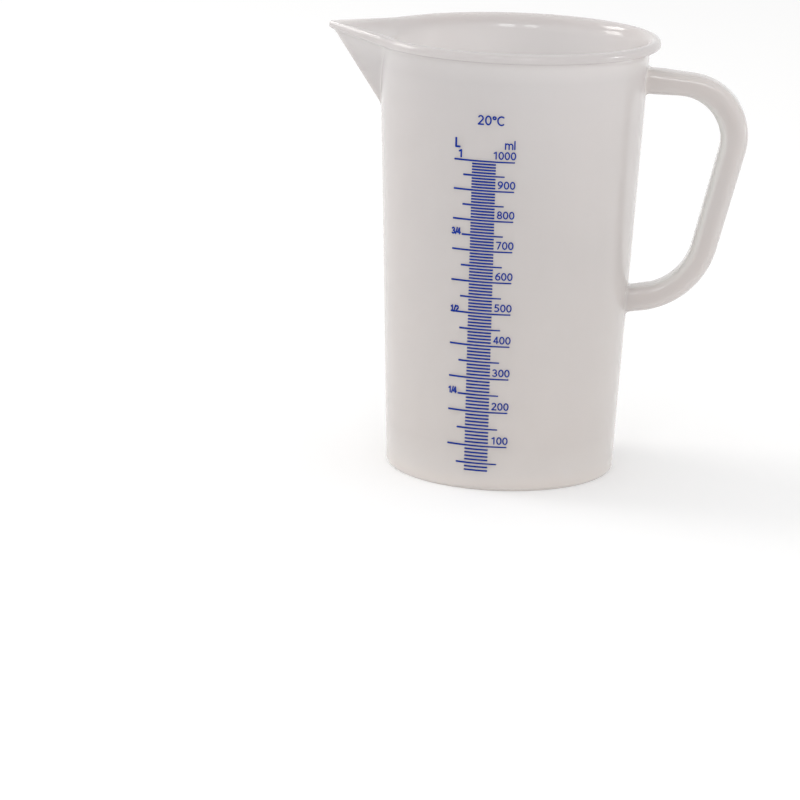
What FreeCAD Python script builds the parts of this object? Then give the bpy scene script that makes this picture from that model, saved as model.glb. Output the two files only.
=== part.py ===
import FreeCAD, Part
import math
import os
import Sketcher
from FreeCAD import Placement, Rotation, Vector

# Translucent one-litre measuring jug: a tapered moulded vessel with a flared lip, a V-shaped
# pouring spout and a closed handle, and a printed scale in 10 ml steps.
# Frame: origin on the vessel's axis at the plane it stands on, +Z up, the handle towards +X,
# the spout towards -X, and the scale on the -Y side. Millimetres.

DRIVING = {
    # vessel
    "base_radius": 47.5,        # outside, at the plane it stands on
    "wall_taper": 0.0443,       # growth of the radius per unit of height
    "wall_thick": 1.9,
    "floor_top_z": 4.0,         # inside bottom
    "floor_thick": 2.2,
    "base_corner": 1.6,         # outside corner radius at the foot
    "floor_corner": 2.0,        # inside corner radius at the floor
    "foot_width": 3.6,          # ring that touches the table
    "base_top_z": 8.0,
    "rim_foot_z": 174.9,
    # flared lip
    "lip_top_z": 182.0,
    "lip_radius": 59.7,
    "lip_under_z": 178.2,
    "lip_hollow": 3.3,          # concave radius under the lip
    "lip_lower_round": 1.1,
    "lip_upper_round": 2.0,
    "flare_radius": 7.5,        # inside, from the wall out to the lip
    "flare_top_z": 181.4,
    # spout
    "keel_top_r": 74.2,         # keel just under the lip
    "keel_top_z": 180.0,
    "keel_run": 0.67,           # outward run of the keel per unit of height
    "flank_angle": 41.0,        # of each flank from the spout's middle plane
    "flank_nose": 1.6,
    "channel_nose": 0.8,
    "channel_wall": 2.07,       # wall thickness measured level
    "spout_lip_angle": 46.0,
    "spout_lip_nose": 1.6,
    "spout_tip_r": 76.7,
    "spout_tip_z": 184.0,
    "spout_tip_under_z": 180.9,
    "spout_seat_r": 57.0,       # where the spout's lip starts on the round lip
    "spout_heel_r": 48.0,       # where the lip starts to rise towards the tip
    # handle, seen from the side: corners of the outer and inner outlines
    "handle_width": 14.0,
    "root_r": 44.0,
    "outer_root_top_z": 171.6,
    "outer_top_r": 103.0,
    "outer_top_z": 165.0,
    "outer_low_r": 79.8,
    "outer_low_z": 68.3,
    "outer_root_low_z": 68.6,
    "inner_root_low_z": 75.4,
    "inner_low_r": 72.8,
    "inner_low_z": 82.3,
    "inner_top_r": 90.3,
    "inner_top_z": 159.3,
    "inner_root_top_z": 159.8,
    "outer_top_bend": 25.4,
    "outer_low_bend": 36.0,
    "inner_top_bend": 18.0,
    "inner_low_bend": 23.4,
    "handle_edge": 3.0,
    # printed scale
    "scale_offset_deg": 9.4,    # scale's middle line, from -Y towards the spout
    "ink_thick": 0.12,
    "tick_height": 0.52,
    "tick_10_length": 9.8,
    "tick_50_length": 17.0,
    "tick_100_length": 25.0,
    "lowest_tick_ml": 30.0,
    "full_scale_ml": 1000.0,
    "digit_height": 3.2,
    "digit_width": 1.9,
    "digit_pitch": 2.45,
    "stroke": 0.45,
    "digit_rise": 0.7,          # numerals' feet above their line
    "digit_right": 12.9,        # right-hand end of the numerals, from the scale's middle
    "fraction_scale": 0.75,
    "fraction_right": -9.2,
    "fraction_rise": 0.2,
    "litre_right": -8.7,
    "unit_scale": 1.1,
    "unit_rise": 5.2,
    "note_scale": 1.3,
    "note_right": 7.2,
    "note_rise": 15.2,
    # reach of the shapes that trim the spout
    "vee_back_r": 24.0,
    "lip_back_r": 43.0,
    "tool_reach": 110.0,
    "tool_low_z": 120.0,
    "tool_top_z": 200.0,
    "lip_reach": 14.0,
    "keel_up": 14.0,
    "keel_down": 50.0,
}

DERIVED = {
    "inner_base_radius": "base_radius - wall_thick",
    "floor_under_z": "floor_top_z - floor_thick",
    "base_top_out": "base_radius + wall_taper * base_top_z",
    "base_top_in": "inner_base_radius + wall_taper * base_top_z",
    "corner_out": "base_radius + wall_taper * base_corner",
    "foot_out": "corner_out - base_corner",
    "foot_in": "foot_out - foot_width",
    "recess_r": "foot_in - floor_under_z",
    "floor_corner_z": "floor_top_z + floor_corner",
    "floor_corner_r": "inner_base_radius + wall_taper * floor_corner_z",
    "floor_edge_r": "floor_corner_r - floor_corner",
    "rim_foot_out": "base_radius + wall_taper * rim_foot_z",
    "rim_foot_in": "inner_base_radius + wall_taper * rim_foot_z",
    "hollow_end_r": "rim_foot_out + lip_hollow",
    "under_end_r": "lip_radius - lip_lower_round",
    "side_low_z": "lip_under_z + lip_lower_round",
    "side_high_z": "lip_top_z - lip_upper_round",
    "top_start_r": "lip_radius - lip_upper_round",
    "flare_top_r": "rim_foot_in + flare_radius - sqrt(flare_radius ^ 2 - (flare_top_z - rim_foot_z) ^ 2)",
    "seat_low_z": "rim_foot_z + sqrt(lip_hollow ^ 2 - (hollow_end_r - spout_seat_r) ^ 2)",
    "top_rise": "(spout_tip_z - lip_top_z) / (spout_tip_r - spout_heel_r)",
    "under_rise": "(spout_tip_under_z - lip_under_z) / (spout_tip_r - spout_seat_r)",
    "top_far_z": "lip_top_z + top_rise * (tool_reach - spout_heel_r)",
    "under_far_z": "lip_under_z + under_rise * (tool_reach - spout_seat_r)",
    "flank_centre_r": "keel_top_r - flank_nose",
    "lip_centre_r": "spout_tip_r - spout_lip_nose",
    "flank_sine": "sin(flank_angle * 1 deg)",
    "channel_centre_r": "flank_centre_r + (flank_nose - channel_wall - channel_nose) / flank_sine",
}


def fill_sheet(doc):
    """The spreadsheet: driving dimensions as plain numbers, then what follows from them."""
    sheet = doc.addObject("Spreadsheet::Sheet", "dims")
    row = 1
    for name, value in DRIVING.items():
        sheet.set("A%d" % row, name)
        sheet.set("B%d" % row, str(value))
        sheet.setAlias("B%d" % row, name)
        row += 1
    for name, formula in DERIVED.items():
        sheet.set("A%d" % row, name)
        sheet.set("B%d" % row, "=" + formula)
        sheet.setAlias("B%d" % row, name)
        row += 1
    doc.recompute()
    return sheet


def size(sheet, name):
    """The plain number behind a name of the spreadsheet."""
    value = sheet.get(name)
    return float(getattr(value, "Value", value))


def origin_plane(body, role):
    """A body's own origin plane, such as XZ_Plane."""
    for feature in body.Origin.OriginFeatures:
        if feature.Role == role:
            return feature
    raise ValueError("no origin plane " + role)


def pin_point(sketch, geo, pos, names, sheet):
    """Ties one sketch point to two named dimensions; 0 means on the axis."""
    if names[0] == 0:
        sketch.addConstraint(Sketcher.Constraint("PointOnObject", geo, pos, -2))
    else:
        index = sketch.addConstraint(
            Sketcher.Constraint("DistanceX", -1, 1, geo, pos, size(sheet, names[0]))
        )
        sketch.setExpression("Constraints[%d]" % index, "dims." + names[0])
    if names[1] == 0:
        sketch.addConstraint(Sketcher.Constraint("PointOnObject", geo, pos, -1))
    else:
        index = sketch.addConstraint(
            Sketcher.Constraint("DistanceY", -1, 1, geo, pos, size(sheet, names[1]))
        )
        sketch.setExpression("Constraints[%d]" % index, "dims." + names[1])


def arc_between(start, end, radius, bulge):
    """Arc of a given radius from start to end; bulge +1 keeps its centre left of the chord."""
    chord = end - start
    half = chord.Length / 2
    rise = math.sqrt(max(radius * radius - half * half, 0.0))
    left = Vector(-chord.y, chord.x, 0).normalize()
    centre = start + chord * 0.5 + left * (rise * bulge)
    middle = start + chord * 0.5 - centre
    middle = centre + middle.normalize() * radius
    return Part.Arc(start, middle, end)


def outline(sketch, sheet, points, arcs):
    """A closed outline through named points. arcs: index of the start point -> (radius name, bulge)."""
    places = []
    for names in points:
        x, y = (0.0 if n == 0 else size(sheet, n) for n in names)
        places.append(Vector(x, y, 0))
    count = len(points)
    ends = []
    for i in range(count):
        start, end = places[i], places[(i + 1) % count]
        if i in arcs:
            name, bulge = arcs[i]
            curve = arc_between(start, end, size(sheet, name), bulge)
            geo = sketch.addGeometry(curve, False)
            forward = sketch.getPoint(geo, 1).distanceToPoint(start) < 1e-6
            ends.append((geo, 1 if forward else 2, 2 if forward else 1))
        else:
            geo = sketch.addGeometry(Part.LineSegment(start, end), False)
            ends.append((geo, 1, 2))
    for i in range(count):
        geo, _, last = ends[i]
        after, first, _ = ends[(i + 1) % count]
        sketch.addConstraint(Sketcher.Constraint("Coincident", geo, last, after, first))
    for i in range(count):
        geo, first, _ = ends[i]
        pin_point(sketch, geo, first, points[i], sheet)
    for i, (name, _) in arcs.items():
        index = sketch.addConstraint(
            Sketcher.Constraint("Radius", ends[i][0], size(sheet, name))
        )
        sketch.setExpression("Constraints[%d]" % index, "dims." + name)


def turned_body(doc, sheet, name, points, arcs):
    """A body turned about the vessel's axis from one outline."""
    body = doc.addObject("PartDesign::Body", name)
    sketch = body.newObject("Sketcher::SketchObject", name + "_outline")
    sketch.AttachmentSupport = (origin_plane(body, "XZ_Plane"), [""])
    sketch.MapMode = "FlatFace"
    outline(sketch, sheet, points, arcs)
    doc.recompute()
    turn = body.newObject("PartDesign::Revolution", name + "_turn")
    turn.Profile = (sketch, [""])
    turn.ReferenceAxis = (sketch, ["V_Axis"])
    turn.Angle = 360.0
    doc.recompute()
    return body


def make_base(doc, sheet):
    """Floor with its foot ring and the rounded foot of the wall."""
    points = [
        (0, "floor_under_z"),
        ("recess_r", "floor_under_z"),
        ("foot_in", 0),
        ("foot_out", 0),
        ("corner_out", "base_corner"),
        ("base_top_out", "base_top_z"),
        ("base_top_in", "base_top_z"),
        ("floor_corner_r", "floor_corner_z"),
        ("floor_edge_r", "floor_top_z"),
        (0, "floor_top_z"),
    ]
    arcs = {3: ("base_corner", 1), 7: ("floor_corner", -1)}
    return turned_body(doc, sheet, "foot_turned", points, arcs)


def make_wall(doc, sheet):
    """Tapered wall of the vessel, before the spout's channel opens it."""
    points = [
        ("base_top_in", "base_top_z"),
        ("base_top_out", "base_top_z"),
        ("rim_foot_out", "rim_foot_z"),
        ("rim_foot_in", "rim_foot_z"),
    ]
    return turned_body(doc, sheet, "wall_turned", points, {})


def make_lip(doc, sheet):
    """Flared lip that runs round the mouth, before the spout takes its share."""
    points = [
        ("rim_foot_in", "rim_foot_z"),
        ("rim_foot_out", "rim_foot_z"),
        ("hollow_end_r", "lip_under_z"),
        ("under_end_r", "lip_under_z"),
        ("lip_radius", "side_low_z"),
        ("lip_radius", "side_high_z"),
        ("top_start_r", "lip_top_z"),
        ("flare_top_r", "flare_top_z"),
    ]
    arcs = {
        1: ("lip_hollow", -1),
        3: ("lip_lower_round", 1),
        5: ("lip_upper_round", 1),
        7: ("flare_radius", 1),
    }
    return turned_body(doc, sheet, "lip_turned", points, arcs)


def make_envelope(doc, sheet):
    """The vessel as if it were solid: what grows out of it is trimmed to this."""
    points = [
        (0, 0),
        ("base_radius", 0),
        ("rim_foot_out", "rim_foot_z"),
        ("spout_seat_r", "seat_low_z"),
        ("spout_seat_r", "tool_top_z"),
        (0, "tool_top_z"),
    ]
    return turned_body(doc, sheet, "envelope", points, {2: ("lip_hollow", -1)})


def vee_section(doc, sheet, name, level, centre, nose, angle, shut_at):
    """Level section of the spout: two flanks that meet in a round nose, pointing to -X."""
    beta = math.radians(size(sheet, angle))
    middle, radius, back = (size(sheet, n) for n in (centre, nose, shut_at))
    touch = Vector(middle + radius * math.sin(beta), radius * math.cos(beta), 0)
    far = Vector(back, touch.y + (touch.x - back) * math.tan(beta), 0)
    sketch = doc.addObject("Sketcher::SketchObject", name)
    sketch.Placement = Placement(Vector(0, 0, size(sheet, level)), Rotation(Vector(0, 0, 1), 180))
    circle = Part.Circle(Vector(middle, 0, 0), Vector(0, 0, 1), radius)
    spread = math.pi / 2 - beta
    one = sketch.addGeometry(Part.LineSegment(Vector(far.x, -far.y, 0), Vector(touch.x, -touch.y, 0)))
    arc = sketch.addGeometry(Part.ArcOfCircle(circle, -spread, spread))
    two = sketch.addGeometry(Part.LineSegment(touch, far))
    shut = sketch.addGeometry(Part.LineSegment(far, Vector(far.x, -far.y, 0)))
    for rule in (
        ("Tangent", one, 2, arc, 1),
        ("Tangent", arc, 2, two, 1),
        ("Coincident", two, 2, shut, 1),
        ("Coincident", shut, 2, one, 1),
        ("Symmetric", shut, 1, shut, 2, -1),
        ("PointOnObject", arc, 3, -1),
    ):
        sketch.addConstraint(Sketcher.Constraint(*rule))
    bound = (
        (("Radius", arc, radius), "dims." + nose),
        (("DistanceX", -1, 1, arc, 3, middle), "dims." + centre),
        (("DistanceX", -1, 1, shut, 1, back), "dims." + shut_at),
        (("Angle", one, beta), "dims." + angle + " * 1 deg"),
    )
    for rule, formula in bound:
        index = sketch.addConstraint(Sketcher.Constraint(*rule))
        sketch.setExpression("Constraints[%d]" % index, formula)
    sketch.setExpression("Placement.Base.z", "dims." + level)
    return sketch


def drawn_out(doc, name, sketch, direction, forward, backward):
    """A section carried along a direction; the three are expressions or numbers."""
    solid = doc.addObject("Part::Extrusion", name)
    solid.Base = sketch
    solid.DirMode = "Custom"
    solid.Solid = True
    solid.Dir = Vector(0, 0, 1)
    for axis, formula in zip("xyz", direction):
        solid.setExpression("Dir." + axis, formula)
    solid.setExpression("LengthFwd", forward)
    solid.setExpression("LengthRev", backward)
    return solid


def side_slab(doc, sheet, name, points):
    """A slab across the vessel, seen from the side with the spout's side as +x of its outline."""
    sketch = doc.addObject("Sketcher::SketchObject", name + "_outline")
    across = Rotation(Vector(-1, 0, 0), Vector(0, 0, 1), Vector(0, 1, 0), "XYZ")
    sketch.Placement = Placement(Vector(0, 0, 0), across)
    outline(sketch, sheet, points, {})
    return drawn_out(doc, name, sketch, ("0", "1", "0"), "dims.tool_reach", "dims.tool_reach")


def pair(doc, kind, name, base, tool):
    """Part::Cut or Part::Common of two objects."""
    result = doc.addObject(kind, name)
    result.Base = base
    result.Tool = tool
    return result


def make_channel(doc, sheet):
    """The space inside the spout, open above and towards the vessel."""
    section = vee_section(
        doc,
        sheet,
        "channel_section",
        "keel_top_z",
        "channel_centre_r",
        "channel_nose",
        "flank_angle",
        "vee_back_r",
    )
    keel = ("-dims.keel_run", "0", "1")
    return drawn_out(doc, "channel", section, keel, "dims.keel_up", "dims.keel_down")


def make_spout(doc, sheet, envelope, channel):
    """Two flanks on a keel and the lip along their top edges, outside the round vessel."""
    section = vee_section(
        doc,
        sheet,
        "flank_section",
        "keel_top_z",
        "flank_centre_r",
        "flank_nose",
        "flank_angle",
        "vee_back_r",
    )
    keel = ("-dims.keel_run", "0", "1")
    flanks = drawn_out(doc, "flanks", section, keel, "dims.keel_up", "dims.keel_down")
    below = side_slab(
        doc,
        sheet,
        "below_lip",
        [
            ("vee_back_r", "tool_low_z"),
            ("tool_reach", "tool_low_z"),
            ("tool_reach", "under_far_z"),
            ("spout_seat_r", "lip_under_z"),
            ("vee_back_r", "lip_under_z"),
        ],
    )
    lip_section = vee_section(
        doc,
        sheet,
        "lip_section",
        "lip_under_z",
        "lip_centre_r",
        "spout_lip_nose",
        "spout_lip_angle",
        "lip_back_r",
    )
    lip = drawn_out(doc, "lip_prism", lip_section, ("0", "0", "1"), "dims.lip_reach", "1")
    beside = side_slab(
        doc,
        sheet,
        "lip_side",
        [
            ("vee_back_r", "lip_under_z"),
            ("spout_seat_r", "lip_under_z"),
            ("tool_reach", "under_far_z"),
            ("tool_reach", "top_far_z"),
            ("spout_heel_r", "lip_top_z"),
            ("vee_back_r", "lip_top_z"),
        ],
    )
    whole = doc.addObject("Part::MultiFuse", "spout_whole")
    whole.Shapes = [
        pair(doc, "Part::Common", "flanks_trimmed", flanks, below),
        pair(doc, "Part::Common", "lip_trimmed", lip, beside),
    ]
    outside = pair(doc, "Part::Cut", "spout_outside", whole, envelope)
    return pair(doc, "Part::Cut", "spout", outside, channel)


def edges_at(shape, test):
    """Names of the edges that pass a test."""
    return ["Edge%d" % (i + 1) for i, edge in enumerate(shape.Edges) if test(edge)]


def make_handle(doc, sheet, envelope):
    """Closed handle: a flat-sided bar bent from one outline, with rounded long edges."""
    body = doc.addObject("PartDesign::Body", "handle_bar")
    sketch = body.newObject("Sketcher::SketchObject", "handle_outline")
    sketch.AttachmentSupport = (origin_plane(body, "XZ_Plane"), [""])
    sketch.MapMode = "FlatFace"
    corners = {
        "outer_top": "outer_top_bend",
        "outer_low": "outer_low_bend",
        "inner_low": "inner_low_bend",
        "inner_top": "inner_top_bend",
    }
    outline(
        sketch,
        sheet,
        [
            ("root_r", "outer_root_top_z"),
            ("outer_top_r", "outer_top_z"),
            ("outer_low_r", "outer_low_z"),
            ("root_r", "outer_root_low_z"),
            ("root_r", "inner_root_low_z"),
            ("inner_low_r", "inner_low_z"),
            ("inner_top_r", "inner_top_z"),
            ("root_r", "inner_root_top_z"),
        ],
        {},
    )
    doc.recompute()
    last = body.newObject("PartDesign::Pad", "handle_pad")
    last.Profile = (sketch, [""])
    last.SideType = "Symmetric"
    last.setExpression("Length", "dims.handle_width")
    doc.recompute()
    for corner, bend in corners.items():
        place = (size(sheet, corner + "_r"), size(sheet, corner + "_z"))

        def at_corner(edge):
            middle = edge.BoundBox.Center
            return abs(middle.x - place[0]) < 0.01 and abs(middle.z - place[1]) < 0.01 and edge.BoundBox.YLength > 1

        names = edges_at(last.Shape, at_corner)
        if len(names) != 1:
            raise ValueError("handle corner %s has %d edges" % (corner, len(names)))
        fillet = body.newObject("PartDesign::Fillet", bend + "_fillet")
        fillet.Base = (last, names)
        fillet.setExpression("Radius", "dims." + bend)
        doc.recompute()
        last = fillet
    root = size(sheet, "root_r")

    def long_edge(edge):
        box = edge.BoundBox
        return box.YLength < 0.01 and box.XMax > root + 0.01

    rounding = body.newObject("PartDesign::Fillet", "handle_rounding")
    rounding.Base = (last, edges_at(last.Shape, long_edge))
    rounding.setExpression("Radius", "dims.handle_edge")
    doc.recompute()
    return pair(doc, "Part::Cut", "handle_cut", body, envelope)


def level_of(sheet, millilitres):
    """Height of the liquid's surface above the table for a volume in the tapered vessel."""
    taper = size(sheet, "wall_taper")
    inner = size(sheet, "inner_base_radius")
    floor = inner + taper * size(sheet, "floor_top_z")
    cube = 3 * taper * millilitres * 1000 / math.pi + floor**3
    return (cube ** (1 / 3) - inner) / taper


def tick(sheet, height, length):
    """One printed line: a thin strip of the cone's surface, centred on the scale's middle."""
    taper, thick = size(sheet, "wall_taper"), size(sheet, "ink_thick")
    low = height - size(sheet, "tick_height") / 2
    high = height + size(sheet, "tick_height") / 2
    low_r = size(sheet, "base_radius") + taper * low
    high_r = size(sheet, "base_radius") + taper * high
    corners = [
        Vector(low_r, 0, low),
        Vector(low_r + thick, 0, low),
        Vector(high_r + thick, 0, high),
        Vector(high_r, 0, high),
    ]
    face = Part.Face(Part.makePolygon(corners + corners[:1]))
    spread = math.degrees(length / low_r)
    middle = -90 - size(sheet, "scale_offset_deg")
    face.rotate(Vector(0, 0, 0), Vector(0, 0, 1), middle - spread / 2)
    return face.revolve(Vector(0, 0, 0), Vector(0, 0, 1), spread)


def ticks(sheet, kind):
    """All lines of one kind: every 100 ml, the other 50s, and the other 10s."""
    volume, top = size(sheet, "lowest_tick_ml"), size(sheet, "full_scale_ml")
    found = []
    while volume <= top:
        if volume % 100 == 0:
            this = 100
        elif volume % 50 == 0:
            this = 50
        else:
            this = 10
        if this == kind:
            found.append(tick(sheet, level_of(sheet, volume), size(sheet, "tick_%d_length" % kind)))
        volume += 10
    return Part.makeCompound(found)


# Which of the eight bars each plain character has: a top, b upper right, c lower right,
# d bottom, e lower left, f upper left, g middle, h lower centre.
BARS = {
    "0": "abcdef",
    "1": "bc",
    "2": "abged",
    "3": "abgcd",
    "4": "fgbc",
    "5": "afgcd",
    "6": "afgedc",
    "7": "abc",
    "8": "abcdefg",
    "9": "abcdfg",
    "L": "def",
    "l": "ef",
    "m": "cegh",
    "C": "adef",
    "o": "abfg",
}


def glyph(char, wide, tall, stroke, thick):
    """One plain character as a plate, its lower left corner at the origin."""
    half = tall / 2
    bars = {
        "a": (0, tall - stroke, wide, stroke),
        "b": (wide - stroke, half, stroke, half),
        "c": (wide - stroke, 0, stroke, half),
        "d": (0, 0, wide, stroke),
        "e": (0, 0, stroke, half),
        "f": (0, half, stroke, half),
        "g": (0, half - stroke / 2, wide, stroke),
        "h": ((wide - stroke) / 2, 0, stroke, half),
    }
    shape = None
    for name in BARS[char]:
        left, low, across, up = bars[name]
        bar = Part.makeBox(across, up, thick, Vector(left, low, 0))
        shape = bar if shape is None else shape.fuse(bar)
    return shape.removeSplitter()


def slash(wide, tall, stroke, thick):
    """The sloping line of a fraction."""
    corners = [
        Vector(0, 0, 0),
        Vector(stroke, 0, 0),
        Vector(wide, tall, 0),
        Vector(wide - stroke, tall, 0),
    ]
    return Part.Face(Part.makePolygon(corners + corners[:1])).extrude(Vector(0, 0, thick))


def on_wall(sheet, shape, along, height):
    """Moves a plate from the XY plane onto the wall: along the scale's width, at a height."""
    taper = size(sheet, "wall_taper")
    radius = size(sheet, "base_radius") + taper * height
    turn = math.radians(-90 - size(sheet, "scale_offset_deg")) + along / radius
    side = Vector(-math.sin(turn), math.cos(turn), 0)
    up = Vector(taper * math.cos(turn), taper * math.sin(turn), 1).normalize()
    place = Vector(radius * math.cos(turn), radius * math.sin(turn), height)
    shape.Placement = Placement(place, Rotation(side, up, side.cross(up), "XYZ"))
    return shape


def written(sheet, text, right, height, scale=1.0):
    """Plain characters in a row on the wall, ending at right, standing on height."""
    pitch, wide, tall, stroke, thick = (
        size(sheet, n)
        for n in ("digit_pitch", "digit_width", "digit_height", "stroke", "ink_thick")
    )
    plates = []
    for place, char in enumerate(reversed(text)):
        if char == "/":
            plate = slash(wide * scale, tall * scale, stroke, thick)
        elif char == "o":
            plate = glyph(char, wide * scale * 0.6, tall * scale, stroke, thick)
        else:
            plate = glyph(char, wide * scale, tall * scale, stroke, thick)
        plate.translate(Vector(-wide * scale / 2, 0, 0))
        along = right - wide * scale / 2 - place * pitch * scale
        plates.append(on_wall(sheet, Part.makeCompound([plate]), along, height))
    return plates


def numerals(sheet):
    """100 to 1000 above the right-hand ends of the long lines."""
    plates = []
    for volume in range(100, 1001, 100):
        height = level_of(sheet, volume) + size(sheet, "digit_rise")
        plates += written(sheet, str(volume), size(sheet, "digit_right"), height)
    return Part.makeCompound(plates)


def litre_marks(sheet):
    """Quarter, half and three quarters of a litre, and one litre, at the left of the scale."""
    small = size(sheet, "fraction_scale")
    plates = []
    for text, volume in (("1/4", 250), ("1/2", 500), ("3/4", 750)):
        height = level_of(sheet, volume) + size(sheet, "fraction_rise")
        plates += written(sheet, text, size(sheet, "fraction_right"), height, small)
    top = level_of(sheet, size(sheet, "full_scale_ml")) + size(sheet, "digit_rise")
    plates += written(sheet, "1", size(sheet, "litre_right"), top, size(sheet, "unit_scale"))
    return Part.makeCompound(plates)


def unit_marks(sheet):
    """The unit symbols above the two columns, and the calibration temperature."""
    top = level_of(sheet, size(sheet, "full_scale_ml"))
    small, large = size(sheet, "unit_scale"), size(sheet, "note_scale")
    units = top + size(sheet, "unit_rise")
    note = top + size(sheet, "note_rise")
    plates = written(sheet, "ml", size(sheet, "digit_right"), units, small)
    plates += written(sheet, "L", size(sheet, "litre_right"), units, large)
    plates += written(sheet, "20oC", size(sheet, "note_right"), note, large)
    return Part.makeCompound(plates)


def printed(doc, name, shape):
    """An ink layer, which no single feature can draw on a cone."""
    feature = doc.addObject("Part::Feature", name)
    feature.Shape = shape
    feature.Placement = Placement()
    return feature


def check(doc, nodes):
    """Stops if anything failed to build or a sub-part isn't a sound solid."""
    for thing in doc.Objects:
        if "Invalid" in thing.State or "Error" in thing.State:
            raise ValueError("%s failed to build: %s" % (thing.Name, thing.State))
    for name, thing in nodes.items():
        shape = thing.Shape
        if shape.isNull() or not shape.isValid() or not shape.Solids:
            raise ValueError("%s has no valid solid" % name)
        print("%-22s solids %3d  volume %10.1f mm3" % (name, len(shape.Solids), shape.Volume))


def main():
    doc = FreeCAD.newDocument("measuring_jug")
    sheet = fill_sheet(doc)
    envelope = make_envelope(doc, sheet)
    channel = make_channel(doc, sheet)
    spout = make_spout(doc, sheet, envelope, channel)
    wall = pair(doc, "Part::Cut", "wall_open", make_wall(doc, sheet), channel)
    lip = pair(doc, "Part::Cut", "lip_open", make_lip(doc, sheet), channel)
    nodes = {
        "base": make_base(doc, sheet),
        "body_wall": wall,
        "rim_lip": pair(doc, "Part::Cut", "lip_seated", lip, spout),
        "pouring_spout": spout,
        "handle": make_handle(doc, sheet, envelope),
        "scale_ticks_10ml": printed(doc, "ink_10", ticks(sheet, 10)),
        "scale_ticks_50ml": printed(doc, "ink_50", ticks(sheet, 50)),
        "scale_ticks_100ml": printed(doc, "ink_100", ticks(sheet, 100)),
        "scale_numerals": printed(doc, "ink_numerals", numerals(sheet)),
        "litre_marks": printed(doc, "ink_litres", litre_marks(sheet)),
        "unit_marks": printed(doc, "ink_units", unit_marks(sheet)),
    }
    for name, thing in nodes.items():
        thing.Label = name
    doc.recompute()
    check(doc, nodes)
    os.makedirs("parts", exist_ok=True)
    for name, thing in nodes.items():
        thing.Shape.exportStep("parts/%s.step" % name)


main()
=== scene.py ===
import math
import bpy
import numpy as np
from mathutils import Matrix, Vector


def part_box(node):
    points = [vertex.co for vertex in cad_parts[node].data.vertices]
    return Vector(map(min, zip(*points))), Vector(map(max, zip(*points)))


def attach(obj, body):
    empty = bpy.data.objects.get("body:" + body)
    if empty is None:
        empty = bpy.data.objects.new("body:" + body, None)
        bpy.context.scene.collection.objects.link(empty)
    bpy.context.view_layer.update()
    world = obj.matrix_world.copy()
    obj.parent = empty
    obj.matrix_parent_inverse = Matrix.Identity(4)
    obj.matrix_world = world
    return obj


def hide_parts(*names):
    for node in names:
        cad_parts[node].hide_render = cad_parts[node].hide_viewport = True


# Translucent one-litre measuring jug. Shapes are worked out in millimetres in the CAD frame:
# origin on the vessel's axis at the table, +Z up, handle towards +X, spout towards -X, scale
# on the -Y side. solid() turns them into metres. Lamps, floor and camera are in metres.

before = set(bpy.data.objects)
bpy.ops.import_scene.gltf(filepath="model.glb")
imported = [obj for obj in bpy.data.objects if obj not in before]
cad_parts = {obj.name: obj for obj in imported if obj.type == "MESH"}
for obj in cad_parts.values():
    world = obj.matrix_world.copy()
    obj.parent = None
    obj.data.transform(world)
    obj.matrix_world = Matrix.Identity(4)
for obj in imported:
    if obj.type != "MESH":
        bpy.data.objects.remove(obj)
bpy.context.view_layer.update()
MM = 0.001


def box_mm(node):
    """Lowest and highest corner of a CAD node, in millimetres."""
    low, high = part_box(node)
    return np.array(low) / MM, np.array(high) / MM


# ---- sizes taken from the frame -------------------------------------------------------------
BASE_TOP = box_mm("base")[1]
WALL_TOP = box_mm("body_wall")[1]
LIP_TOP = box_mm("rim_lip")[1]
SPOUT_LOW, SPOUT_HIGH = box_mm("pouring_spout")
HANDLE_HIGH = box_mm("handle")[1]

TAPER = (WALL_TOP[0] - BASE_TOP[0]) / (WALL_TOP[2] - BASE_TOP[2])
BASE_R = BASE_TOP[0] - TAPER * BASE_TOP[2]
LIP_R = LIP_TOP[0]
LIP_Z = LIP_TOP[2]
RIM_FOOT_Z = WALL_TOP[2]
TIP_R = -SPOUT_LOW[0]
TIP_Z = SPOUT_HIGH[2]
HANDLE_HALF = HANDLE_HIGH[1]

# ---- the rest of the vessel, in millimetres -------------------------------------------------
WALL = 1.9
INNER_R = BASE_R - WALL
FLOOR_Z = 4.0
FLOOR_UNDER_Z = 1.8
FOOT_ROUND = 1.6
FOOT_WIDTH = 3.6
FOOT_BEVEL = 0.3
FOOT_EASE = (0.4, 0.04)         # inner edge of the ring's flat: how far outwards, and its rise
FLOOR_ROUND = 2.0
KEEL_R = 74.2                   # reach of the spout's keel at KEEL_Z
KEEL_Z = 180.0
KEEL_RUN = 0.67                 # how far the keel leans out per millimetre of height
FLANK_ANGLE = math.radians(41.0)
FLANK_NOSE = 1.6
FLANK_BLEND = 1.4               # width over which the flanks run into the cone
CHANNEL_NOSE = 0.8
CHANNEL_WALL = 2.07
SPOUT_FOOT_Z = 145.0            # below these heights there is no spout and no channel
CHANNEL_FOOT_Z = 146.0

# The lip, round the mouth and along the spout's top. A pair gives a size round the mouth and what
# is added to it up to the spout's tip.
UNDER_Z = 178.2
HOLLOW = 3.3                    # concave radius under the lip
LIP_ANGLE = math.radians(48.5)
LIP_NOSE = 2.0
LIP_BLEND = 1.5
TIP_UNDER_Z = 180.9
HEEL_R = 48.0                   # where the crest starts to climb towards the spout's tip
HEEL_BLEND = 6.0
SEAT_R = 57.7                   # where the underside starts to climb
SEAT_BLEND = 4.0
CREST_SETBACK = (2.0, -0.9)
SIDE_LOW = (1.1, 0.4)           # edge's foot over the underside
SIDE_HIGH = (-2.0, 0.4)         # edge's top under the crest
LEDGE_GROWTH = (HOLLOW, -2.45)
LEAST_LEDGE = 0.8
FOOT_OUT = (-HOLLOW, 1.9)
TIP_FLARE = 2.4                 # how far under the tip the flare ends there

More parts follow.
